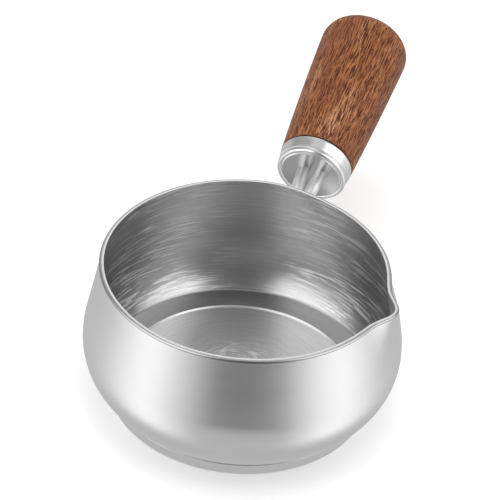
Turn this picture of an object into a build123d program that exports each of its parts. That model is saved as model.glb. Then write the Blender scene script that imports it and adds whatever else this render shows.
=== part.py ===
from build123d import *
from math import cos, exp, radians, sin, sqrt, tan, tanh
import os

# Small spouted milk pan with a round wooden side handle.
# Millimetres, +Z up. The origin is the centre of the underside, on the surface it stands on.
# The handle leans out along +X and the pouring beak points near -Y.

# Vessel, drawn from one sheet
pan_height = 55.0
wall_thickness = 1.0
belly_radius = 56.0
belly_height = 23.5
flank_arc_radius = 22.4
shoulder_arc_radius = 35.0
wall_lean_degrees = 10.5
lip_height = 1.2
lip_reach = 0.6
lip_profile_shares = ((0.0, 0.0), (0.2, 0.8), (0.6, 1.0), (1.0, 0.3))
underside_cone_width = 7.0
floor_step_height = 0.5
floor_step_width = 0.8
crease_rise_share = 0.7
shaping_start_height = 33.5
plain_height_shares = (0.0, 0.16, 0.34, 0.52, 0.7, 0.87)
shaped_height_shares = (0.0, 0.17, 0.37, 0.56, 0.76, 0.91, 1.0)

# Pouring beak and the mouth drawn in beside it
beak_reach = 5.0
beak_depth = 18.0
beak_spread_degrees = 8.1
beak_fade_power_share = 1.6
draw_on_handle_side = 1.9
draw_on_far_side = 0.1
draw_full_degrees = 72.0
draw_end_degrees = 104.0
draw_swap_degrees = 10.0
spout_direction_degrees = -94.0
shaped_steps_each_side = 12
shaped_spacing_power_share = 1.6
plain_steps_each_side = 5

# Bonded base
cap_height = 6.6
cap_sheet = 0.5
core_thickness = 3.0
cap_side_flare = 2.1
cap_corner_radius = 1.2
cap_proud = 0.2
bond_gap = 0.02

# Handle line, measured along it from where it would cross the pan's axis
handle_rise_degrees = 13.5
handle_line_height = 25.3

# Neck of two rods
neck_length = 21.6
rod_diameter = 4.8
rod_gap_at_pan = 0.1
rod_spacing_at_ferrule = 6.2
rod_spread_length = 7.5
rod_spread_end_gap = 0.6
rod_bend_radius = 25.0
rod_socket_depth = 1.2
rod_socket_clearance = 0.12

# Ferrule, a turned cap with a dished face
ferrule_length = 6.6
ferrule_bead_radius = 13.05
ferrule_bead_length = 2.0
ferrule_groove_depth = 0.35
ferrule_groove_width = 0.5
ferrule_band_radius = 13.7
ferrule_dish_radius = 11.3
ferrule_dish_depth = 1.8
ferrule_recess_radius = 11.2
ferrule_recess_depth = 2.6

# Heat washer between ferrule and grip
washer_thickness = 0.8
washer_step = 0.4
washer_hole_clearance = 0.1

# Wooden grip
grip_length = 65.3
grip_root_radius = 13.8
grip_root_round = 0.6
grip_full_radius = 16.8
grip_bulge = 0.3
grip_end_round = 7.0
tenon_side_clearance = 0.2
tenon_end_clearance = 0.4

# Stud and insert inside the grip
stud_diameter = 6.0
stud_length = 25.0
stud_end_chamfer = 0.8
stud_tip_clearance = 4.0
insert_diameter = 10.0
insert_length = 16.0
thread_clearance = 0.05
insert_bore_clearance = 0.05
stud_bore_clearance = 0.4

# Every cut runs past the surface it opens by this much
overrun = 2.0


def wall_radius(height, inset):
    """Radius of the round vessel at a height, inset square to the wall."""
    lean = radians(wall_lean_degrees)
    straight_start = belly_height + shoulder_arc_radius * sin(lean)
    if height < belly_height:
        reach = flank_arc_radius - inset
        centre = belly_radius - flank_arc_radius
        return centre + sqrt(reach ** 2 - (belly_height - height) ** 2)
    if height < straight_start:
        reach = shoulder_arc_radius - inset
        centre = belly_radius - shoulder_arc_radius
        return centre + sqrt(reach ** 2 - (height - belly_height) ** 2)
    start_radius = belly_radius - shoulder_arc_radius * (1 - cos(lean))
    return start_radius - (height - straight_start) * tan(lean) - inset / cos(lean)


# Places that follow from the sizes above
core_top = cap_sheet + core_thickness
bottom_height = core_top + bond_gap
floor_height = bottom_height + wall_thickness
crease_height = cap_height + crease_rise_share * wall_thickness
lip_start_height = pan_height - lip_height
underside_edge_radius = wall_radius(cap_height, 0)
floor_radius = underside_edge_radius - underside_cone_width
cap_stand_radius = underside_edge_radius - cap_side_flare
rod_radius = rod_diameter / 2
rod_spacing_at_pan = rod_diameter + rod_gap_at_pan
stud_radius = stud_diameter / 2
insert_radius = insert_diameter / 2
ferrule_front = belly_radius + neck_length
ferrule_back = ferrule_front + ferrule_length
recess_floor = ferrule_back - ferrule_recess_depth
grip_shoulder = ferrule_back + washer_thickness
grip_end = grip_shoulder + grip_length
tenon_end = recess_floor + tenon_end_clearance


def smooth_step(share):
    """Ease from 0 to 1 as share goes from 0 to 1."""
    share = min(max(share, 0), 1)
    return share * share * (3 - 2 * share)


def beak_share(degrees):
    """Height of the beak's outline in plan, 1 at its rounded tip."""
    return exp(-(degrees / beak_spread_degrees) ** 2)


def draw_at(degrees):
    """How far the mouth is drawn in beside the beak."""
    mean = (draw_on_handle_side + draw_on_far_side) / 2
    half_difference = (draw_on_handle_side - draw_on_far_side) / 2
    depth = mean + half_difference * tanh(degrees / draw_swap_degrees)
    past = (abs(degrees) - draw_full_degrees) / (draw_end_degrees - draw_full_degrees)
    return depth * (1 - smooth_step(past))


def shaped_radius(degrees, height):
    """Outer radius of the shaped part of the wall."""
    beak_start = pan_height - beak_depth
    beak_fade = max(height - beak_start, 0) / beak_depth
    draw_fade = (height - shaping_start_height) / (pan_height - shaping_start_height)
    beak = beak_reach * beak_share(degrees) * beak_fade ** beak_fade_power_share
    return wall_radius(height, 0) + beak - draw_at(degrees) * smooth_step(draw_fade)


def shaped_inset_radius(degrees, height, inset):
    """Shaped radius moved in square to the section's outline."""
    radius = shaped_radius(degrees, height)
    slope = (shaped_radius(degrees + 1, height) - shaped_radius(degrees - 1, height)) / radians(2)
    lean = radians(wall_lean_degrees)
    return radius - inset / cos(lean) * sqrt(1 + (slope / radius) ** 2)


def plan_point(radius, degrees, height):
    """Point at an angle from the beak's direction."""
    turn = radians(spout_direction_degrees + degrees)
    return Vector(radius * cos(turn), radius * sin(turn), height)


def vessel_radius(degrees, height, inset):
    """Radius of the vessel's skin at an angle from the beak's direction."""
    turn = (degrees + 180) % 360 - 180
    if height <= shaping_start_height or abs(turn) >= draw_end_degrees:
        return wall_radius(height, inset)
    return shaped_inset_radius(turn, height, inset)


def outline_degrees():
    """Angles of an outline's points, from opposite the beak all the way round, closest at the beak."""
    shaped = []
    for step in range(-shaped_steps_each_side, shaped_steps_each_side + 1):
        share = abs(step) / shaped_steps_each_side
        side = 1 if step > 0 else -1
        shaped.append(side * draw_end_degrees * share ** shaped_spacing_power_share)
    plain_step = (180 - draw_end_degrees) / plain_steps_each_side
    plain = [step * plain_step for step in range(plain_steps_each_side)]
    before = [degrees - 180 for degrees in plain]
    after = [180 - degrees for degrees in plain[:0:-1]]
    return before + shaped + after


def outline(height, radius_at):
    """Closed smooth outline at one height."""
    points = [plan_point(radius_at(degrees), degrees, height) for degrees in outline_degrees()]
    return Wire([Edge.make_spline(points, periodic=True)])


def vessel_outline(height, inset=0):
    """Outline of the vessel's skin, inset square to the wall."""
    return outline(height, lambda degrees: vessel_radius(degrees, height, inset))


def round_outline(height, radius):
    """Circle with the same stretches as the vessel's outline."""
    return outline(height, lambda degrees: radius)


def wall_filling(first_height, top, inset):
    """Solid that fills the wall's inside up to a height."""
    plain_rise = shaping_start_height - first_height
    shaped_rise = top - shaping_start_height
    heights = [first_height + share * plain_rise for share in plain_height_shares]
    heights += [shaping_start_height + share * shaped_rise for share in shaped_height_shares]
    return Solid.make_loft([vessel_outline(height, inset) for height in heights], ruled=False)


def rim_lip():
    """Rounded band that stands a little proud round the mouth."""
    wires = []
    for rise_share, reach_share in lip_profile_shares:
        height = lip_start_height + rise_share * lip_height
        wires.append(vessel_outline(height, -reach_share * lip_reach))
    return Solid.make_loft(wires, ruled=True)


def vessel_outside():
    """Everything inside the vessel's outer skin."""
    wires = [round_outline(bottom_height, floor_radius), vessel_outline(cap_height)]
    bottom = Solid.make_loft(wires, ruled=True)
    return bottom + wall_filling(cap_height, lip_start_height, 0) + rim_lip()


def make_pan_body(outside):
    """Thin drawn vessel with a stepped floor, a beak and a lip round the mouth."""
    wires = [
        round_outline(floor_height, floor_radius - floor_step_width),
        round_outline(floor_height + floor_step_height, floor_radius),
        vessel_outline(crease_height, wall_thickness),
    ]
    bottom = Solid.make_loft(wires, ruled=True)
    space = bottom + wall_filling(crease_height, pan_height + overrun, wall_thickness)
    return outside - space


def bonded_height(radius):
    """Height of the bonded pieces' top at a radius, just under the vessel's shallow outer cone."""
    share = (radius - floor_radius) / underside_cone_width
    return core_top + share * (cap_height - bottom_height)


def make_base_core():
    """Disc that spreads the heat, bonded between vessel and cap."""
    edge_radius = underside_edge_radius - cap_sheet
    foot_radius = cap_stand_radius - cap_corner_radius
    with BuildSketch(Plane.XZ) as sketch:
        with BuildLine():
            Polyline(
                (0, core_top),
                (0, cap_sheet),
                (foot_radius, cap_sheet),
                (cap_stand_radius - cap_sheet, cap_corner_radius),
                (edge_radius, bonded_height(edge_radius)),
                (floor_radius, core_top),
                (0, core_top),
            )
        make_face()
    return revolve(sketch.sketch, Axis.Z)


def make_base_cap():
    """Thin dish that closes the core in and gives the pan its flat foot."""
    inner_radius = underside_edge_radius - cap_sheet
    foot_radius = cap_stand_radius - cap_corner_radius
    corner_turn = radians(45)
    corner_middle = (
        foot_radius + cap_corner_radius * sin(corner_turn),
        cap_corner_radius * (1 - cos(corner_turn)),
    )
    with BuildSketch(Plane.XZ) as sketch:
        with BuildLine():
            Polyline((0, cap_sheet), (0, 0), (foot_radius, 0))
            ThreePointArc((foot_radius, 0), corner_middle, (cap_stand_radius, cap_corner_radius))
            Polyline(
                (cap_stand_radius, cap_corner_radius),
                (underside_edge_radius + cap_proud, cap_height),
                (underside_edge_radius + bond_gap, cap_height),
                (inner_radius, bonded_height(inner_radius)),
                (cap_stand_radius - cap_sheet, cap_corner_radius),
                (foot_radius, cap_sheet),
                (0, cap_sheet),
            )
        make_face()
    return revolve(sketch.sketch, Axis.Z)


def handle_plane():
    """Plane square to the handle line, where the line crosses the pan's axis."""
    rise = radians(handle_rise_degrees)
    return Plane((0, 0, handle_line_height), x_dir=(0, 1, 0), z_dir=(cos(rise), 0, sin(rise)))


def on_handle(shape):
    """Move a piece drawn along +Z onto the handle line."""
    return handle_plane().location * shape


def turned(profile):
    """Turn a half section drawn as radius and length about the handle line."""
    return on_handle(revolve(profile, Axis.Z))


def make_neck_rod(side, outside):
    """One of the two bent rods from the pan's wall to the ferrule."""
    at_pan = side * rod_spacing_at_pan / 2
    at_ferrule = side * rod_spacing_at_ferrule / 2
    seat = ferrule_face_at(at_ferrule) + rod_socket_depth
    spread_end = ferrule_front - rod_spread_end_gap
    path = FilletPolyline(
        (at_pan, 0, belly_radius - rod_diameter - overrun),
        (at_pan, 0, spread_end - rod_spread_length),
        (at_ferrule, 0, spread_end),
        (at_ferrule, 0, seat),
        radius=rod_bend_radius,
    )
    rod = sweep(Plane(path @ 0, z_dir=path % 0) * Circle(rod_radius), path=path)
    return on_handle(rod) - outside


def ferrule_face_at(radius):
    """Place along the handle line of the dished face at a radius."""
    sphere = (ferrule_dish_radius ** 2 + ferrule_dish_depth ** 2) / (2 * ferrule_dish_depth)
    return ferrule_front + ferrule_dish_depth - sphere + sqrt(sphere ** 2 - radius ** 2)


def make_ferrule():
    """Turned cap with a dished face, a rounded bead, a fine groove and a recess for the tenon."""
    bead_end = ferrule_front + ferrule_bead_length
    groove_end = bead_end + ferrule_groove_width
    groove_radius = ferrule_bead_radius - ferrule_groove_depth
    face_edge = (ferrule_dish_radius, ferrule_front)
    bead_middle = (ferrule_bead_radius, ferrule_front + ferrule_bead_length / 2)
    face_middle_radius = ferrule_dish_radius / 2
    face_middle = (face_middle_radius, ferrule_face_at(face_middle_radius))
    with BuildSketch(Plane.XZ) as sketch:
        with BuildLine():
            ThreePointArc((0, ferrule_front + ferrule_dish_depth), face_middle, face_edge)
            ThreePointArc(face_edge, bead_middle, (groove_radius, bead_end))
            Polyline(
                (groove_radius, bead_end),
                (groove_radius, groove_end),
                (ferrule_bead_radius, groove_end),
                (ferrule_band_radius, ferrule_back),
                (ferrule_recess_radius, ferrule_back),
                (ferrule_recess_radius, recess_floor),
                (0, recess_floor),
                (0, ferrule_front + ferrule_dish_depth),
            )
        make_face()
    ferrule = turned(sketch.sketch)
    for side in (-1, 1):
        centre = side * rod_spacing_at_ferrule / 2
        depth = rod_socket_depth + ferrule_dish_depth
        start = ferrule_face_at(centre) + rod_socket_depth - depth
        socket = Plane((centre, 0, start)) * extrude(Circle(rod_radius + rod_socket_clearance), depth)
        ferrule -= on_handle(socket)
    return ferrule


def make_heat_washer():
    """Thin dark ring between ferrule and grip."""
    hole = ferrule_recess_radius + washer_hole_clearance
    ring = Circle(ferrule_band_radius - washer_step) - Circle(hole)
    return on_handle(Plane((0, 0, ferrule_back)) * extrude(ring, washer_thickness))


def make_grip():
    """Round wooden grip, swelling towards its rounded end, with a tenon and a stepped bore."""
    tenon_radius = ferrule_recess_radius - tenon_side_clearance
    swell_end = grip_end - grip_end_round
    middle_radius = (grip_root_radius + grip_full_radius) / 2 + grip_bulge
    middle = (middle_radius, (grip_shoulder + grip_root_round + swell_end) / 2)
    root = (grip_root_radius, grip_shoulder + grip_root_round)
    full = (grip_full_radius, swell_end)
    cap_edge = (grip_full_radius - grip_end_round, grip_end)
    with BuildSketch(Plane.XZ) as sketch:
        with BuildLine():
            Polyline(
                (0, grip_end),
                (0, tenon_end),
                (tenon_radius, tenon_end),
                (tenon_radius, grip_shoulder),
                (grip_root_radius - grip_root_round, grip_shoulder),
                root,
            )
            start_direction = (grip_full_radius - grip_root_radius, grip_length / 2)
            Spline(root, middle, full, tangents=(start_direction, (0, 1)))
            RadiusArc(full, cap_edge, -grip_end_round)
            Line(cap_edge, (0, grip_end))
        make_face()
    grip = turned(sketch.sketch)
    insert_bore = extrude(Circle(insert_radius + insert_bore_clearance), insert_length + overrun)
    grip -= on_handle(Plane((0, 0, tenon_end - overrun)) * insert_bore)
    stud_bore = extrude(Circle(stud_radius + stud_bore_clearance), stud_length + stud_tip_clearance)
    return grip - on_handle(Plane((0, 0, recess_floor)) * stud_bore)


def make_grip_stud():
    """Threaded stud welded square to the back of the ferrule."""
    stud = Plane((0, 0, recess_floor)) * extrude(Circle(stud_radius), stud_length)
    stud = chamfer(stud.edges().group_by(Axis.Z)[-1], stud_end_chamfer)
    return on_handle(stud)


def make_threaded_insert():
    """Threaded sleeve set in the grip's tenon, which the stud screws into."""
    ring = Circle(insert_radius) - Circle(stud_radius + thread_clearance)
    return on_handle(Plane((0, 0, tenon_end)) * extrude(ring, insert_length))


def write_parts():
    """Write one STEP file for each piece."""
    outside = vessel_outside()
    pieces = {
        "pan_body": make_pan_body(outside),
        "base_core": make_base_core(),
        "base_cap": make_base_cap(),
        "neck_rod_left": make_neck_rod(1, outside),
        "neck_rod_right": make_neck_rod(-1, outside),
        "ferrule": make_ferrule(),
        "heat_washer": make_heat_washer(),
        "handle_grip": make_grip(),
        "grip_stud": make_grip_stud(),
        "threaded_insert": make_threaded_insert(),
    }
    os.makedirs("parts", exist_ok=True)
    for name, piece in pieces.items():
        export_step(piece, f"parts/{name}.step")


write_parts()
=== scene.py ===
import bpy
from math import cos, exp, pi, radians, sin, sqrt, tan, tanh
from mathutils import Matrix, Vector


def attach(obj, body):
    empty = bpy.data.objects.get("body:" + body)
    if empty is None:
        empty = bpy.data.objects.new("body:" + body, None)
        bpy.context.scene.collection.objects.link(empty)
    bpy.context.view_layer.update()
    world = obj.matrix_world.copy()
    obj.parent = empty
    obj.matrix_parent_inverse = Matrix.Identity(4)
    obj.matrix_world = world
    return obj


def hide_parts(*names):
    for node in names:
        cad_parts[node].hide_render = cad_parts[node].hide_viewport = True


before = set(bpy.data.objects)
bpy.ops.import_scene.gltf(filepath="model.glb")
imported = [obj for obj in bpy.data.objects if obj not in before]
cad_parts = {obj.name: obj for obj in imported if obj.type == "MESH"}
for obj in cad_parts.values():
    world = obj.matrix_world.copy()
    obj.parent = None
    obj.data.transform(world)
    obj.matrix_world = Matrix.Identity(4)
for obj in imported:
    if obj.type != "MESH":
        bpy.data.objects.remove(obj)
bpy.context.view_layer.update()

# Lengths are in millimetres, as in the CAD model, and become metres when a mesh is made
MM = 0.001

# Vessel, the same sizes as in the CAD model
pan_height = 55.0
wall_thickness = 1.0
belly_radius = 56.0
belly_height = 23.5
flank_arc_radius = 22.4
shoulder_arc_radius = 35.0
wall_lean_degrees = 10.5
lip_height = 1.2
lip_reach = 0.6
shaping_start_height = 33.5
cap_height = 6.6
core_top = 3.5
bottom_height = 3.52
floor_height = 4.52
floor_step_height = 0.5
floor_step_width = 0.8
floor_radius = 41.3
crease_height = 7.3

# Beak and drawn-in mouth
beak_reach = 5.0
beak_depth = 18.0
beak_spread_degrees = 8.1
beak_fade_power = 1.6
draw_on_handle_side = 1.9
draw_on_far_side = 0.1
draw_full_degrees = 72.0
draw_end_degrees = 104.0
draw_swap_degrees = 10.0
spout_direction_degrees = -94.0

# Base cap
cap_stand_radius = 46.2
cap_corner_radius = 1.2
cap_proud = 0.2

# Handle
handle_rise_degrees = 13.5
handle_line_height = 25.3
ferrule_front = 77.6
ferrule_length = 6.6
ferrule_bead_radius = 13.05
ferrule_bead_length = 2.0
ferrule_groove_depth = 0.25
ferrule_groove_width = 0.4
ferrule_band_radius = 13.7
ferrule_dish_radius = 11.3
ferrule_dish_depth = 1.8
washer_thickness = 0.8
grip_length = 65.3
grip_root_radius = 13.8
grip_root_round = 0.6
grip_full_radius = 16.8
grip_end_round = 7.0
ferrule_back = ferrule_front + ferrule_length
grip_shoulder = ferrule_back + washer_thickness
grip_end = grip_shoulder + grip_length

# Camera, fitted to the photograph: metres, degrees and pixels of a 500 by 500 picture
camera_distance = 1.0
camera_elevation_degrees = 38.87
camera_direction_degrees = -164.77
camera_roll_degrees = 4.87
target_height = 0.027
target_pixel = (243.1, 329.5)
picture_size = 500
focal_pixels = 2854.0
sensor_width = 36.0

# Studio that the metal reflects, as pairs of degrees and grey value round the pan: 0 degrees is
# the camera's side, and they run anticlockwise seen from above
studio_strength = 1.3
studio_low = (
    (-180, 0.44), (-130, 0.46), (-106, 0.54), (-86, 0.76), (-70, 0.97), (-58, 0.93), (-38, 0.60),
    (-30, 0.46), (-14, 0.18), (0, 0.10), (14, 0.15), (30, 0.30), (46, 0.62), (62, 0.88), (76, 0.96),
    (90, 0.82), (112, 0.54), (135, 0.46), (180, 0.44),
)
studio_high = (
    (-180, 0.54), (-160, 0.43), (-138, 0.16), (-112, 0.20), (-102, 0.70), (-90, 0.95), (-36, 0.98),
    (-28, 0.70), (-19, 0.12), (0, 0.08), (34, 0.11), (46, 0.70), (54, 0.98), (92, 0.95), (104, 0.70),
    (114, 0.20), (138, 0.16), (160, 0.43), (180, 0.54),
)
studio_high_strength = 1.6
studio_ceiling = 0.5
studio_ground = 0.42

# Edges between the studio's parts, as the height or depth that a direction of length 1 reaches
low_to_high = (0.0, 0.35)
ceiling_edge = (0.90, 0.97)
ground_glow_edge = (0.10, 0.60)
ground_edge = (0.62, 0.95)

# Plain light and floor; the floor's lift keeps it white where no shadow falls
plain_light = 0.85
lamp_height = 1.4
lamp_size = 0.9
lamp_power = 4.0
lamp_target_height = 0.03
floor_reach = 3.0
floor_colour = 0.95
floor_lift = 0.22

# Fineness of the meshes, and the bend over which an edge is drawn sharp
columns_each_side = 210
column_spacing_power = 1.35
wall_rings = 64
turned_steps = 160
cap_steps = 256
turned_sharp_degrees = 35
soft_sharp_degrees = 40

# Scratched places inside the pan: directions round the wall where the scratches carry a painted
# highlight, the cosines between which it fades in on both sides of them, and radii of wear on the floor
scratched_highlight_directions_degrees = (60, -32)
scratched_highlight_side_edge = (0.70, 0.95)
worn_middle_radius = 26.0
worn_most_radius = 12.0


def wall_radius(height, inset):
    """Radius of the round vessel at a height, inset square to the wall."""
    lean = radians(wall_lean_degrees)
    straight_start = belly_height + shoulder_arc_radius * sin(lean)
    if height < belly_height:
        reach = flank_arc_radius - inset
        return belly_radius - flank_arc_radius + sqrt(reach ** 2 - (belly_height - height) ** 2)
    if height < straight_start:
        reach = shoulder_arc_radius - inset
        return belly_radius - shoulder_arc_radius + sqrt(reach ** 2 - (height - belly_height) ** 2)
    start_radius = belly_radius - shoulder_arc_radius * (1 - cos(lean))
    return start_radius - (height - straight_start) * tan(lean) - inset / cos(lean)


def smooth_step(share):
    """Ease from 0 to 1 as share goes from 0 to 1."""
    share = min(max(share, 0), 1)
    return share * share * (3 - 2 * share)


def draw_at(degrees):
    """How far the mouth is drawn in beside the beak."""
    mean = (draw_on_handle_side + draw_on_far_side) / 2
    half_difference = (draw_on_handle_side - draw_on_far_side) / 2
    depth = mean + half_difference * tanh(degrees / draw_swap_degrees)
    past = (abs(degrees) - draw_full_degrees) / (draw_end_degrees - draw_full_degrees)
    return depth * (1 - smooth_step(past))


def shaped_radius(degrees, height):
    """Outer radius of the shaped part of the wall."""
    beak_fade = max(height - (pan_height - beak_depth), 0) / beak_depth
    draw_fade = (height - shaping_start_height) / (pan_height - shaping_start_height)
    beak = beak_reach * exp(-(degrees / beak_spread_degrees) ** 2) * beak_fade ** beak_fade_power
    return wall_radius(height, 0) + beak - draw_at(degrees) * smooth_step(draw_fade)


def vessel_radius(degrees, height, inset):
    """Radius of the vessel's skin at an angle from the beak's direction."""
    if height <= shaping_start_height or abs(degrees) >= draw_end_degrees:
        return wall_radius(height, inset)
    radius = shaped_radius(degrees, height)
    slope = (shaped_radius(degrees + 1, height) - shaped_radius(degrees - 1, height)) / radians(2)
    return radius - inset / cos(radians(wall_lean_degrees)) * sqrt(1 + (slope / radius) ** 2)


def make_object(name, vertices, faces, sharp_degrees):
    """Object of a closed mesh with smooth shading, sharp at edges that bend more than sharp_degrees."""
    mesh = bpy.data.meshes.new(name)
    mesh.from_pydata(vertices, [], faces)
    mesh.shade_smooth()
    mesh.set_sharp_from_angle(angle=radians(sharp_degrees))
    piece = bpy.data.objects.new(name, mesh)
    bpy.context.scene.collection.objects.link(piece)
    return piece


def skin_of_rows(rows):
    """Vertices and faces of rings of points; a row of one point closes the skin as a fan."""
    vertices, starts, faces = [], [], []
    for row in rows:
        starts.append(len(vertices))
        vertices.extend(row)
    for index in range(len(rows) - 1):
        low, high = rows[index], rows[index + 1]
        a, b = starts[index], starts[index + 1]
        count = max(len(low), len(high))
        for k in range(count):
            n = (k + 1) % count
            if len(low) == 1:
                faces.append((b + n, b + k, a))
            elif len(high) == 1:
                faces.append((a + n, b, a + k))
            else:
                faces.append((a + n, b + n, b + k, a + k))
    return vertices, faces


def turned(name, profile, steps, sharp_degrees):
    """Solid of revolution about the piece's own Z axis from (radius, height) points."""
    rows = []
    for radius, height in profile:
        if radius == 0:
            rows.append([(0, 0, height * MM)])
            continue
        ring = []
        for step in range(steps):
            turn = 2 * pi * step / steps
            ring.append((radius * cos(turn) * MM, radius * sin(turn) * MM, height * MM))
        rows.append(ring)
    vertices, faces = skin_of_rows(rows)
    return make_object(name, vertices, faces, sharp_degrees)


def arc(centre, radius, first_degrees, last_degrees, steps):
    """Points on an arc in a half section, angles from the outward direction."""
    points = []
    for degrees in spread(first_degrees, last_degrees, steps):
        turn = radians(degrees)
        points.append((centre[0] + radius * cos(turn), centre[1] + radius * sin(turn)))
    return points


def spread(first, last, steps):
    """Evenly spaced values from first to last."""
    return [first + (last - first) * step / steps for step in range(steps + 1)]


def handle_matrix():
    """Places a piece whose own Z axis runs along the handle line."""
    rise = radians(handle_rise_degrees)
    along = Vector((cos(rise), 0, sin(rise)))
    side = Vector((0, 1, 0))
    up = along.cross(side)
    turn = Matrix((side, up, along)).transposed().to_4x4()
    return Matrix.Translation((0, 0, handle_line_height * MM)) @ turn


def vessel_angles():
    """Angles of the vessel's columns from the beak, closer spaced towards it."""
    side = [180 * share ** column_spacing_power for share in spread(0, 1, columns_each_side)]
    return [-angle for angle in side[:0:-1]] + side[:-1]


def vessel_ring(angles, height, radius_at):
    """Ring of points round the vessel at a height."""
    points = []
    for degrees in angles:
        turn = radians(spout_direction_degrees + degrees)
        radius = radius_at(degrees)
        points.append((radius * cos(turn) * MM, radius * sin(turn) * MM, height * MM))
    return points


def outer_sections():
    """Height and inset of the outer skin's rings, from the groove up to the lip."""
    return [(height, 0) for height in spread(cap_height, pan_height - lip_height, wall_rings)]


def lip_sections():
    """Rings of the rounded lip outside the mouth, up to the fine line at its top."""
    start = pan_height - lip_height
    rounding = (
        (0.05, 0.15), (0.1, 0.5), (0.18, 0.8), (0.32, 1.0), (0.55, 0.97), (0.75, 0.75), (0.9, 0.35),
    )
    sections = [(start + rise * lip_height, -out * lip_reach) for rise, out in rounding]
    fine_line = [(pan_height - 0.06, 0.02), (pan_height - 0.1, 0.12)]
    return sections + fine_line


def rim_sections():
    """Rings of the flat strip inside the lip and of its inner edge."""
    strip = [(pan_height - 0.02, 0.22), (pan_height, 0.35), (pan_height, 0.8)]
    inner_edge = [(pan_height - 0.04, 0.92), (pan_height - 0.14, 0.99)]
    return strip + inner_edge


def inner_sections():
    """Rings of the inner wall, from the mouth down to the crease at the floor."""
    below_mouth = 0.3
    above_crease = 0.4
    heights = spread(pan_height - below_mouth, crease_height + above_crease, wall_rings)
    return [(height, wall_thickness) for height in heights]


def floor_circles():
    """Radius and height of the floor's circles: cone, small rounded step and flat disc."""
    crease_radius = wall_radius(crease_height, wall_thickness)
    step_top = floor_height + floor_step_height
    circles = []
    for share in (0.99, 0.93, 0.7, 0.4, 0.15, 0.05):
        radius = floor_radius + share * (crease_radius - floor_radius)
        circles.append((radius, step_top + share * (crease_height - step_top)))
    step_inner = floor_radius - floor_step_width
    step_rounding = (
        (0.0, 0.0), (0.1, 0.02), (0.22, 0.14), (0.5, 0.5), (0.78, 0.86), (0.9, 0.98), (1.0, 1.0),
    )
    for inward, drop in step_rounding:
        circles.append((floor_radius - inward * floor_step_width, step_top - drop * floor_step_height))
    for share in (0.99, 0.95, 0.85, 0.7, 0.55, 0.4, 0.25, 0.12, 0.04):
        circles.append((step_inner * share, floor_height))
    return circles


def make_vessel(materials):
    """Thin pan as one closed skin, with a material each for outside, lip, rim, inside, cone and floor;
    the lip and cone greys are darkened as painted shade.
    """
    angles = vessel_angles()
    rows = [[(0, 0, bottom_height * MM)]]
    rows.append(vessel_ring(angles, bottom_height, lambda degrees: floor_radius))
    counts = []
    for sections in (outer_sections(), lip_sections(), rim_sections(), inner_sections()):
        for height, inset in sections:
            ring = vessel_ring(angles, height, lambda degrees: vessel_radius(degrees, height, inset))
            rows.append(ring)
        counts.append(len(rows) - 1)
    for radius, height in floor_circles():
        if radius == floor_radius:
            counts.append(len(rows))
        rows.append(vessel_ring(angles, height, lambda degrees: radius))
    rows.append([(0, 0, floor_height * MM)])
    vertices, faces = skin_of_rows(rows)
    piece = make_object("vessel", vertices, faces, soft_sharp_degrees)
    for material in materials:
        piece.data.materials.append(material)
    for face in piece.data.polygons:
        row = face.index // len(angles)
        face.material_index = sum(row >= count for count in counts)
    return piece


def make_base_cap():
    """Thin dish under the pan that makes the flat foot; its top edge leaves a fine line."""
    edge_radius = wall_radius(cap_height, 0)
    rim_radius = edge_radius + cap_proud
    foot_radius = cap_stand_radius - cap_corner_radius
    edge_round = 0.12
    corner_share = 0.3
    corner_cut = edge_round * corner_share
    hidden_drop = 0.3
    tuck_under_wall = ((0.3, 0.25), (1.0, 0.5))
    inner_height = core_top - hidden_drop
    profile = [(0, 0)]
    profile += [(foot_radius * share, 0) for share in (0.2, 0.5, 0.8, 0.95, 0.99)]
    profile += arc((foot_radius, cap_corner_radius), cap_corner_radius, -90, 0, 8)
    side_top = cap_height - edge_round
    for share in spread(0, 1, 8)[1:]:
        radius = cap_stand_radius + (rim_radius - cap_stand_radius) * share
        profile.append((radius, cap_corner_radius + (side_top - cap_corner_radius) * share))
    profile.append((rim_radius - corner_cut, cap_height - corner_cut))
    profile.append((rim_radius - edge_round, cap_height))
    profile += [(edge_radius - inward, cap_height - drop) for inward, drop in tuck_under_wall]
    profile += [(floor_radius, inner_height), (0, inner_height)]
    return turned("base_dish", profile, cap_steps, turned_sharp_degrees)


def ferrule_face_at(radius):
    """Place along the handle line of the dished face at a radius."""
    sphere = (ferrule_dish_radius ** 2 + ferrule_dish_depth ** 2) / (2 * ferrule_dish_depth)
    return ferrule_front + ferrule_dish_depth - sphere + sqrt(sphere ** 2 - radius ** 2)


def ferrule_bead():
    """Half section of the rounded bead round the dish."""
    half_width = (ferrule_bead_radius - ferrule_dish_radius) / 2
    half_length = ferrule_bead_length / 2
    points = []
    inner_end, outer_end = 145, 10
    for degrees in spread(inner_end, outer_end, 16):
        turn = radians(degrees)
        radius = ferrule_dish_radius + half_width + half_width * cos(turn)
        points.append((radius, ferrule_front + half_length - half_length * sin(turn)))
    return points


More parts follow.
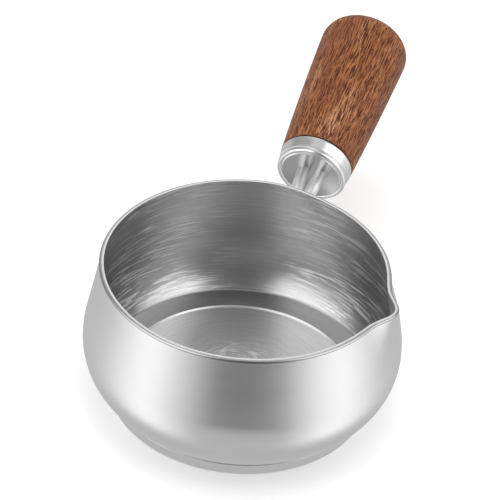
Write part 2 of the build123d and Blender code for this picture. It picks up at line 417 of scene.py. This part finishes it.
def make_ferrule(band, dish):
    """Polished cap whose dished face has a darker grey as painted shade, with a rounded bead and a fine
    groove.
    """
    profile = [(0, ferrule_face_at(0))]
    for share in spread(0.12, 0.97, 10):
        radius = share * ferrule_dish_radius
        profile.append((radius, ferrule_face_at(radius)))
    dish_faces = turned_steps * (len(profile) - 1)
    profile += ferrule_bead()
    bead_end = ferrule_front + ferrule_bead_length
    groove_end = bead_end + ferrule_groove_width
    groove_radius = ferrule_bead_radius - ferrule_groove_depth
    edge_step = 0.05
    profile += [(ferrule_bead_radius, bead_end - 3 * edge_step), (groove_radius, bead_end + edge_step)]
    profile += [(groove_radius, groove_end - edge_step), (ferrule_bead_radius, groove_end + edge_step)]
    for share in (0.15, 0.3, 0.6, 0.85):
        radius = ferrule_bead_radius + share * (ferrule_band_radius - ferrule_bead_radius)
        profile.append((radius, groove_end + share * (ferrule_back - groove_end)))
    profile.append((ferrule_band_radius, ferrule_back - 5 * edge_step))
    profile.append((ferrule_band_radius - edge_step, ferrule_back - edge_step))
    profile += [(ferrule_band_radius - 5 * edge_step, ferrule_back), (0, ferrule_back)]
    piece = turned("ferrule_cap", profile, turned_steps, turned_sharp_degrees)
    piece.data.materials.append(band)
    piece.data.materials.append(dish)
    for face in piece.data.polygons[:dish_faces]:
        face.material_index = 1
    piece.data.transform(handle_matrix())
    return piece


def make_grip():
    """Round wooden grip that swells to its rounded end."""
    swell_end = grip_end - grip_end_round
    start = grip_shoulder + grip_root_round
    bulge = 0.35
    profile = [(0, grip_shoulder)]
    profile += arc((grip_root_radius - grip_root_round, start), grip_root_round, -90, 0, 5)
    for share in spread(0, 1, 40)[1:]:
        ease = share + bulge * share * (1 - share)
        radius = grip_root_radius + (grip_full_radius - grip_root_radius) * ease
        profile.append((radius, start + share * (swell_end - start)))
    profile += arc((grip_full_radius - grip_end_round, swell_end), grip_end_round, 0, 90, 14)[1:]
    flat = grip_full_radius - grip_end_round
    profile += [(flat * share, grip_end) for share in (0.8, 0.5, 0.2)]
    profile.append((0, grip_end))
    piece = turned("wooden_grip", profile, turned_steps, soft_sharp_degrees)
    piece.data.transform(handle_matrix())
    return piece


class Nodes:
    """Short way to build a material's or the world's node tree."""

    def __init__(self, owner):
        owner.use_nodes = True
        self.tree = owner.node_tree
        self.tree.nodes.clear()

    def add(self, kind, settings=None, **inputs):
        """Add a node with its settings, and feed its named inputs."""
        node = self.tree.nodes.new(kind)
        for name, value in (settings or {}).items():
            setattr(node, name, value)
        for name, value in inputs.items():
            self.feed(node.inputs[name.replace("_", " ")], value)
        return node

    def feed(self, socket, value):
        """Link an input to another node's output, or give it a plain value."""
        if isinstance(value, bpy.types.NodeSocket):
            self.tree.links.new(value, socket)
        else:
            socket.default_value = value

    def math(self, operation, *values):
        """Result of one sum on values or outputs."""
        node = self.tree.nodes.new("ShaderNodeMath")
        node.operation = operation
        for socket, value in zip(node.inputs, values):
            self.feed(socket, value)
        return node.outputs[0]

    def dot(self, vector, direction):
        """How far a vector reaches in a direction of length 1."""
        node = self.add("ShaderNodeVectorMath", {"operation": "DOT_PRODUCT"})
        self.feed(node.inputs[0], vector)
        self.feed(node.inputs[1], direction)
        return node.outputs["Value"]

    def ramp(self, factor, stops):
        """Colour that runs through stops of position and colour."""
        node = self.tree.nodes.new("ShaderNodeValToRGB")
        elements = node.color_ramp.elements
        while len(elements) < len(stops):
            elements.new(0.5)
        for element, (position, colour) in zip(elements, stops):
            element.position = position
            element.color = colour
        self.feed(node.inputs[0], factor)
        return node.outputs[0]

    def smooth(self, value, low, high):
        """Ease from 0 where the value is low to 1 where it is high."""
        node = self.tree.nodes.new("ShaderNodeMapRange")
        node.interpolation_type = "SMOOTHSTEP"
        self.feed(node.inputs["Value"], value)
        node.inputs["From Min"].default_value = low
        node.inputs["From Max"].default_value = high
        return node.outputs[0]

    def mix(self, factor, a, b, blend="MIX"):
        """Blend of two colours."""
        node = self.tree.nodes.new("ShaderNodeMix")
        node.data_type = "RGBA"
        node.blend_type = blend
        self.feed(node.inputs[0], factor)
        self.feed(node.inputs[6], a)
        self.feed(node.inputs[7], b)
        return node.outputs[2]

    def finish(self, shader):
        """Make a shader the material's surface."""
        output = self.add("ShaderNodeOutputMaterial")
        self.feed(output.inputs["Surface"], shader.outputs[0])


def srgb(red, green, blue):
    """Linear colour of an 8-bit screen colour."""
    def linear(value):
        value /= 255
        return value / 12.92 if value <= 0.04045 else ((value + 0.055) / 1.055) ** 2.4
    return linear(red), linear(green), linear(blue), 1


def grey(value):
    """Linear grey."""
    return value, value, value, 1


def scaled(colour, share):
    """Colour made darker or lighter by a share."""
    return colour[0] * share, colour[1] * share, colour[2] * share, 1


def pan_place(nodes):
    """Coordinates of the pan, with its Z axis upright."""
    return nodes.add("ShaderNodeTexCoord").outputs["Object"]


def handle_place(nodes):
    """Coordinates of the handle, with its Z axis along the handle line."""
    mapping = nodes.add("ShaderNodeMapping", {"vector_type": "TEXTURE"}, Vector=pan_place(nodes))
    mapping.inputs["Location"].default_value = handle_matrix().to_translation()
    mapping.inputs["Rotation"].default_value = handle_matrix().to_euler()
    return mapping.outputs[0]


def ring_noise(nodes, across_per_mm, around, offset=0.0, place_of=pan_place):
    """Noise in fine lines that run round the Z axis, on walls and floor alike, with no seam."""
    place = place_of(nodes)
    split = nodes.add("ShaderNodeSeparateXYZ", Vector=place)
    flat = nodes.add("ShaderNodeCombineXYZ", X=split.outputs[0], Y=split.outputs[1])
    length = nodes.add("ShaderNodeVectorMath", {"operation": "LENGTH"})
    nodes.feed(length.inputs[0], flat.outputs[0])
    unit = nodes.add("ShaderNodeVectorMath", {"operation": "NORMALIZE"})
    nodes.feed(unit.inputs[0], flat.outputs[0])
    spin = nodes.add("ShaderNodeSeparateXYZ", Vector=unit.outputs[0])
    fine = across_per_mm / MM
    x = nodes.math("MULTIPLY", spin.outputs[0], around)
    y = nodes.math("MULTIPLY", spin.outputs[1], around)
    z = nodes.math("MULTIPLY_ADD", length.outputs["Value"], fine, offset)
    vector = nodes.add("ShaderNodeCombineXYZ", X=x, Y=y, Z=z)
    w = nodes.math("MULTIPLY", split.outputs[2], fine)
    noise = nodes.add("ShaderNodeTexNoise", {"noise_dimensions": "4D"}, Vector=vector.outputs[0], W=w,
                      Scale=1.0, Detail=2.0, Roughness=0.6)
    return noise.outputs["Fac"]


def round_tangent(nodes):
    """Direction of brush lines that run round the Z axis."""
    return nodes.add("ShaderNodeTangent", {"direction_type": "RADIAL", "axis": "Z"}).outputs[0]


def satin_metal(name, colour, roughness, anisotropy):
    """Smooth satin metal with barely visible lines round the Z axis."""
    material = bpy.data.materials.new(name)
    nodes = Nodes(material)
    fine = ring_noise(nodes, across_per_mm=2.5, around=3.0)
    broad = ring_noise(nodes, across_per_mm=0.12, around=1.4, offset=31.0)
    both = nodes.math("MULTIPLY_ADD", fine, 0.3, nodes.math("MULTIPLY", broad, 0.7))
    tint = nodes.ramp(both, [(0.35, scaled(colour, 0.96)), (0.65, colour)])
    rough = nodes.math("MULTIPLY_ADD", both, 0.06, roughness - 0.03)
    bump = nodes.add("ShaderNodeBump", Strength=0.06, Distance=0.02 * MM, Height=fine)
    nodes.finish(nodes.add("ShaderNodeBsdfPrincipled", Base_Color=tint, Metallic=1.0, Roughness=rough,
                           Anisotropic=anisotropy, Normal=bump.outputs[0], Tangent=round_tangent(nodes)))
    return material


def facing_share(nodes, frame_degrees, start, full):
    """Mask that is 1 on the side of the piece that lies in one direction from the Z axis."""
    place = pan_place(nodes)
    flat = nodes.add("ShaderNodeVectorMath", {"operation": "MULTIPLY"})
    nodes.feed(flat.inputs[0], place)
    nodes.feed(flat.inputs[1], (1, 1, 0))
    unit = nodes.add("ShaderNodeVectorMath", {"operation": "NORMALIZE"})
    nodes.feed(unit.inputs[0], flat.outputs[0])
    turn = radians(frame_degrees)
    return nodes.smooth(nodes.dot(unit.outputs[0], (cos(turn), sin(turn), 0)), start, full)


def scratched_highlight_sides(nodes):
    """Mask of the two sides of the wall where the scratches are painted lighter as a highlight."""
    sides = [facing_share(nodes, degrees, *scratched_highlight_side_edge) for degrees in scratched_highlight_directions_degrees]
    return nodes.math("MAXIMUM", *sides)


def worn_middle(nodes):
    """Mask of the floor's middle."""
    place = pan_place(nodes)
    length = nodes.add("ShaderNodeVectorMath", {"operation": "LENGTH"})
    nodes.feed(length.inputs[0], place)
    return nodes.smooth(length.outputs["Value"], worn_middle_radius * MM, worn_most_radius * MM)


def brushed_steel(name, colour, roughness, anisotropy, bump_strength, worn_and_highlit):
    """Steel with uneven brush marks round the Z axis, and lighter scratches where worn and where a
    highlight is painted.
    """
    material = bpy.data.materials.new(name)
    nodes = Nodes(material)
    fine = ring_noise(nodes, across_per_mm=2.6, around=2.6)
    marks = ring_noise(nodes, across_per_mm=1.7, around=4.5, offset=17.0)
    patches = ring_noise(nodes, across_per_mm=0.12, around=2.4, offset=53.0)
    where = nodes.math("MULTIPLY_ADD", worn_and_highlit(nodes), 0.92, 0.08)
    where = nodes.math("MULTIPLY", where, nodes.smooth(patches, 0.30, 0.55))
    scratch_and_highlight = nodes.math("MULTIPLY", nodes.smooth(marks, 0.50, 0.60), where)
    height = nodes.math("MULTIPLY_ADD", scratch_and_highlight, 1.8, nodes.math("MULTIPLY", fine, 0.3))
    plain = nodes.ramp(fine, [(0.3, scaled(colour, 0.88)), (0.7, colour)])
    # Scratches are drawn lighter; on the wall's two sides this lightening is a painted highlight.
    tint = nodes.mix(nodes.math("MULTIPLY", scratch_and_highlight, 0.8), plain, scaled(colour, 1.75))
    rough = nodes.math("MULTIPLY_ADD", scratch_and_highlight, 0.12, roughness)
    bump = nodes.add("ShaderNodeBump", Strength=bump_strength, Distance=0.05 * MM, Height=height)
    # A quarter turn, so that reflections are drawn out across the brush lines
    quarter_turn = 0.25
    nodes.finish(nodes.add("ShaderNodeBsdfPrincipled", Base_Color=tint, Metallic=1.0, Roughness=rough,
                           Anisotropic=anisotropy, Anisotropic_Rotation=quarter_turn,
                           Normal=bump.outputs[0], Tangent=round_tangent(nodes)))
    return material


def polished_steel(name, colour, roughness, metal=1.0, place_of=handle_place):
    """Polished stainless steel with faint turning marks round the handle line or round the pan."""
    material = bpy.data.materials.new(name)
    nodes = Nodes(material)
    marks = ring_noise(nodes, across_per_mm=3.0, around=3.0, place_of=place_of)
    rough = nodes.math("MULTIPLY_ADD", marks, 0.08, roughness)
    tint = nodes.ramp(marks, [(0.35, scaled(colour, 0.94)), (0.65, colour)])
    bump = nodes.add("ShaderNodeBump", Strength=0.1, Distance=0.02 * MM, Height=marks)
    nodes.finish(nodes.add("ShaderNodeBsdfPrincipled", Base_Color=tint, Metallic=metal, Roughness=rough,
                           Normal=bump.outputs[0]))
    return material


def washer_black():
    """Matt black ring with a fine grain."""
    material = bpy.data.materials.new("washer_black")
    nodes = Nodes(material)
    place = pan_place(nodes)
    grain = nodes.add("ShaderNodeTexNoise", Vector=place, Scale=2500.0, Detail=3.0).outputs["Fac"]
    tint = nodes.ramp(grain, [(0.3, srgb(16, 15, 15)), (0.7, srgb(30, 29, 28))])
    rough = nodes.math("MULTIPLY_ADD", grain, 0.2, 0.5)
    bump = nodes.add("ShaderNodeBump", Strength=0.2, Distance=0.03 * MM, Height=grain)
    nodes.finish(nodes.add("ShaderNodeBsdfPrincipled", Base_Color=tint, Roughness=rough,
                           Normal=bump.outputs[0]))
    return material


def grain_noise(nodes, place, across_per_mm, along_per_mm, detail, offset):
    """Noise drawn out along the Z axis of the coordinates it is given."""
    scale = (across_per_mm / MM, across_per_mm / MM, along_per_mm / MM)
    shift = (offset, offset * 2, offset * 3)
    mapping = nodes.add("ShaderNodeMapping", Vector=place, Scale=scale, Location=shift)
    noise = nodes.add("ShaderNodeTexNoise", Vector=mapping.outputs[0], Scale=1.0, Detail=detail,
                      Roughness=0.55)
    return noise.outputs["Fac"]


def oiled_wood():
    """Oiled reddish-brown wood with dense short dark pores along the grip."""
    material = bpy.data.materials.new("grip_wood")
    nodes = Nodes(material)
    place = handle_place(nodes)
    broad = grain_noise(nodes, place, across_per_mm=0.10, along_per_mm=0.03, detail=2.0, offset=2.0)
    fibre = grain_noise(nodes, place, across_per_mm=0.9, along_per_mm=0.06, detail=3.0, offset=3.0)
    pores = grain_noise(nodes, place, across_per_mm=2.3, along_per_mm=0.14, detail=2.0, offset=7.0)
    specks = grain_noise(nodes, place, across_per_mm=4.0, along_per_mm=0.26, detail=2.0, offset=11.0)
    stops = [(0.30, srgb(148, 84, 46)), (0.48, srgb(176, 110, 62)), (0.66, srgb(206, 148, 112))]
    base = nodes.ramp(broad, stops)
    toned = nodes.mix(nodes.smooth(fibre, 0.40, 0.65), base, srgb(150, 86, 44))
    pore_mask = nodes.smooth(pores, 0.505, 0.575)
    speck_mask = nodes.math("MULTIPLY", nodes.smooth(specks, 0.52, 0.60), 0.85)
    mask = nodes.math("MAXIMUM", pore_mask, speck_mask)
    colour = nodes.mix(mask, toned, srgb(84, 36, 6))
    rough = nodes.math("MULTIPLY_ADD", mask, 0.2, 0.42)
    height = nodes.math("SUBTRACT", 1.0, mask)
    bump = nodes.add("ShaderNodeBump", Strength=0.3, Distance=0.12 * MM, Height=height)
    nodes.finish(nodes.add("ShaderNodeBsdfPrincipled", Base_Color=colour, Roughness=rough,
                           Specular_IOR_Level=0.35, Normal=bump.outputs[0]))
    return material


def dress(piece, material):
    """Give a piece one material."""
    piece.data.materials.clear()
    piece.data.materials.append(material)


def put(piece, node):
    """Let a piece stand for a CAD node, on the one body."""
    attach(piece, "root")
    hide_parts(node)


def camera_axes():
    """Right, up and back directions of the camera before it is turned to frame the pan."""
    turn, rise = radians(camera_direction_degrees), radians(camera_elevation_degrees)
    back = Vector((cos(turn) * cos(rise), sin(turn) * cos(rise), sin(rise)))
    right = Vector((0, 0, 1)).cross(back).normalized()
    return right, back.cross(right), back


def make_camera():
    """Camera at the photograph's place, turned so that the pan lands where it is in the picture."""
    right, up, back = camera_axes()
    roll = radians(camera_roll_degrees)
    right, up = cos(roll) * right + sin(roll) * up, cos(roll) * up - sin(roll) * right
    across = (target_pixel[0] - picture_size / 2) / focal_pixels
    down = (target_pixel[1] - picture_size / 2) / focal_pixels
    place = Vector((0, 0, target_height)) + camera_distance * back
    forward = (-back - across * right + down * up).normalized()
    right = (right - right.dot(forward) * forward).normalized()
    up = right.cross(forward)
    data = bpy.data.cameras.new("camera")
    data.sensor_width = sensor_width
    data.lens = focal_pixels / picture_size * sensor_width
    data.clip_end = 20
    camera = bpy.data.objects.new("camera", data)
    turn = Matrix((right, up, -forward)).transposed().to_4x4()
    camera.matrix_world = Matrix.Translation(place) @ turn
    bpy.context.scene.collection.objects.link(camera)
    bpy.context.scene.camera = camera


def studio_stops(round_values):
    """Stops of a ramp that runs once round the horizon."""
    return [(degrees / 360 + 0.5, grey(value)) for degrees, value in round_values]


def studio_light(nodes):
    """Bright panels to both sides, dark on the camera's side, with a grey ceiling and ground."""
    direction = nodes.add("ShaderNodeTexCoord").outputs["Generated"]
    turn = radians(camera_direction_degrees)
    facing = nodes.dot(direction, (cos(turn), sin(turn), 0))
    aside = nodes.dot(direction, (-sin(turn), cos(turn), 0))
    height = nodes.dot(direction, (0, 0, 1))
    angle = nodes.math("ARCTAN2", aside, facing)
    share = nodes.math("MULTIPLY_ADD", angle, 1 / (2 * pi), 0.5)
    low = nodes.ramp(share, studio_stops(studio_low))
    high = nodes.ramp(share, studio_stops(studio_high))
    high = nodes.mix(1.0, high, grey(studio_high_strength), "MULTIPLY")
    panels = nodes.mix(nodes.smooth(height, *low_to_high), low, high)
    down = nodes.math("MULTIPLY", height, -1.0)
    glow = nodes.mix(nodes.smooth(down, *ground_glow_edge), grey(0), grey(studio_ground))
    lit = nodes.mix(1.0, panels, glow, "LIGHTEN")
    lit = nodes.mix(nodes.smooth(down, *ground_edge), lit, grey(studio_ground))
    overhead = nodes.smooth(height, *ceiling_edge)
    return nodes.mix(overhead, lit, grey(studio_ceiling))


def make_world():
    """White background, a plain even light, and a studio that only reflections show."""
    world = bpy.data.worlds.new("studio")
    bpy.context.scene.world = world
    nodes = Nodes(world)
    path = nodes.add("ShaderNodeLightPath")
    mirrored = nodes.math("MAXIMUM", path.outputs["Is Glossy Ray"], path.outputs["Is Transmission Ray"])
    bright = nodes.mix(1.0, studio_light(nodes), grey(studio_strength), "MULTIPLY")
    ambient = nodes.mix(mirrored, grey(plain_light), bright)
    colour = nodes.mix(path.outputs["Is Camera Ray"], ambient, grey(1))
    background = nodes.add("ShaderNodeBackground", Color=colour, Strength=1.0)
    output = nodes.add("ShaderNodeOutputWorld")
    nodes.feed(output.inputs["Surface"], background.outputs[0])


def make_floor():
    """Plain pale floor that stays white round the shadow."""
    mesh = bpy.data.meshes.new("floor")
    square = ((-1, -1), (1, -1), (1, 1), (-1, 1))
    corners = [(x * floor_reach, y * floor_reach, 0) for x, y in square]
    mesh.from_pydata(corners, [], [(0, 1, 2, 3)])
    floor = bpy.data.objects.new("floor", mesh)
    bpy.context.scene.collection.objects.link(floor)
    material = bpy.data.materials.new("floor_white")
    nodes = Nodes(material)
    path = nodes.add("ShaderNodeLightPath")
    plain = nodes.add("ShaderNodeBsdfDiffuse", Color=grey(floor_colour))
    mirrored = nodes.math("MAXIMUM", path.outputs["Is Glossy Ray"], path.outputs["Is Transmission Ray"])
    seen = nodes.math("MAXIMUM", path.outputs["Is Camera Ray"], mirrored)
    strength = nodes.math("MULTIPLY", seen, floor_lift)
    lift = nodes.add("ShaderNodeEmission", Color=grey(1), Strength=strength)
    total = nodes.add("ShaderNodeAddShader")
    nodes.feed(total.inputs[0], plain.outputs[0])
    nodes.feed(total.inputs[1], lift.outputs[0])
    nodes.finish(total)
    floor.data.materials.append(material)
    floor.visible_glossy = False


def make_lamp(name, place, size, power):
    """Soft square lamp that faces the pan."""
    data = bpy.data.lights.new(name, "AREA")
    data.size = size
    data.energy = power
    lamp = bpy.data.objects.new(name, data)
    lamp.location = place
    towards = Vector((0, 0, lamp_target_height)) - Vector(place)
    lamp.rotation_euler = towards.to_track_quat("-Z", "Y").to_euler()
    lamp.visible_glossy = False
    bpy.context.scene.collection.objects.link(lamp)


def dress_all():
    """Dress every piece and every CAD node that stays."""
    satin = satin_metal("pan_outside", grey(0.82), roughness=0.23, anisotropy=0.6)
    # The lip gets a darker grey than the outside: painted shade for its dark outer edge.
    lip = polished_steel("pan_lip", grey(0.44), roughness=0.20, place_of=pan_place)
    rim = polished_steel("pan_rim", grey(0.72), roughness=0.14, place_of=pan_place)
    inside = brushed_steel("pan_inside", grey(0.55), roughness=0.30, anisotropy=0.75,
                           bump_strength=0.35, worn_and_highlit=scratched_highlight_sides)
    # The cone gets a darker grey than the rest of the steel: painted shade for the dark band between the
    # crease and the floor step.
    cone = brushed_steel("pan_cone", grey(0.35), roughness=0.22, anisotropy=0.6,
                         bump_strength=0.12, worn_and_highlit=worn_middle)
    floor = brushed_steel("pan_floor", grey(0.80), roughness=0.40, anisotropy=0.7,
                          bump_strength=0.45, worn_and_highlit=worn_middle)
    put(make_vessel((satin, lip, rim, inside, cone, floor)), "pan_body")
    band = polished_steel("ferrule_band", grey(0.80), roughness=0.20)
    # The dish gets a darker grey than the band: painted shade on the face turned towards the pan.
    dish = polished_steel("ferrule_dish", grey(0.55), roughness=0.18)
    put(make_ferrule(band, dish), "ferrule")
    cap = satin_metal("cap_steel", grey(0.80), roughness=0.24, anisotropy=0.6)
    for piece, node, material in (
        (make_base_cap(), "base_cap", cap),
        (make_grip(), "handle_grip", oiled_wood()),
    ):
        put(piece, node)
        dress(piece, material)
    rods = polished_steel("rod_polish", grey(0.86), roughness=0.22, metal=0.6)
    core = satin_metal("core_aluminium", srgb(225, 226, 228), roughness=0.4, anisotropy=0.3)
    stud = satin_metal("stud_steel", grey(0.6), roughness=0.35, anisotropy=0.3)
    insert = satin_metal("insert_brass", srgb(215, 180, 105), roughness=0.3, anisotropy=0.3)
    for node, material in (
        ("neck_rod_left", rods),
        ("neck_rod_right", rods),
        ("heat_washer", washer_black()),
        ("base_core", core),
        ("grip_stud", stud),
        ("threaded_insert", insert),
    ):
        dress(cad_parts[node], material)


make_camera()
make_world()
make_floor()
make_lamp("top_lamp", (0, 0, lamp_height), lamp_size, lamp_power)
dress_all()
bpy.context.scene.view_settings.view_transform = "Standard"
